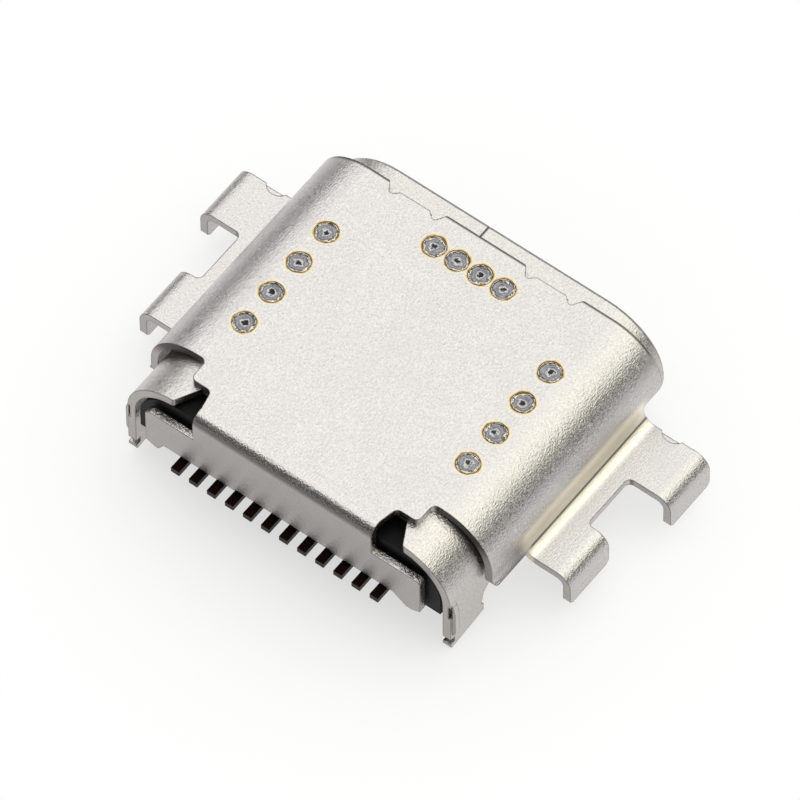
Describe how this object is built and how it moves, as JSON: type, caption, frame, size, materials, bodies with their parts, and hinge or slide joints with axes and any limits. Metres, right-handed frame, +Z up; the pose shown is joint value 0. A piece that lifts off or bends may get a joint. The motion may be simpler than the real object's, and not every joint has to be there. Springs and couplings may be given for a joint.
{
  "type": "board connector socket",
  "caption": "Mid-mount reversible socket for a printed board: nested sheet-metal shells, a contact tongue inside, flange legs at the sides and solder tails at the rear.",
  "frame": {"origin": "the centre of the mouth, on the mating axis", "axes": "+Y runs from the mouth to the rear, +X is the long side of the mouth, +Z is up, away from the board"},
  "size_m": [0.013, 0.0084, 0.0034],
  "materials": {
    "cover_steel": "bead-blasted stainless steel, pale and slightly warm",
    "shell_steel": "satin stainless steel",
    "insulator": "matt black moulding",
    "plate_steel": "bright stainless steel",
    "contact_metal": "gold over nickel on copper alloy, dark at the tails"
  },
  "bodies": {
    "root": {"outer_cover": "cover_steel", "inner_shell": "shell_steel", "tongue_overmould": "insulator", "upper_carrier": "insulator", "lower_carrier": "insulator", "mid_plate": "plate_steel", "upper_emi_plate": "plate_steel", "lower_emi_plate": "plate_steel", "contact_a01": "contact_metal", "contact_a02": "contact_metal", "contact_a03": "contact_metal", "contact_a04": "contact_metal", "contact_a05": "contact_metal", "contact_a06": "contact_metal", "contact_a07": "contact_metal", "contact_a08": "contact_metal", "contact_a09": "contact_metal", "contact_a10": "contact_metal", "contact_a11": "contact_metal", "contact_a12": "contact_metal", "contact_b01": "contact_metal", "contact_b02": "contact_metal", "contact_b03": "contact_metal", "contact_b04": "contact_metal", "contact_b05": "contact_metal", "contact_b06": "contact_metal", "contact_b07": "contact_metal", "contact_b08": "contact_metal", "contact_b09": "contact_metal", "contact_b10": "contact_metal", "contact_b11": "contact_metal", "contact_b12": "contact_metal"}
  },
  "joints": []
}
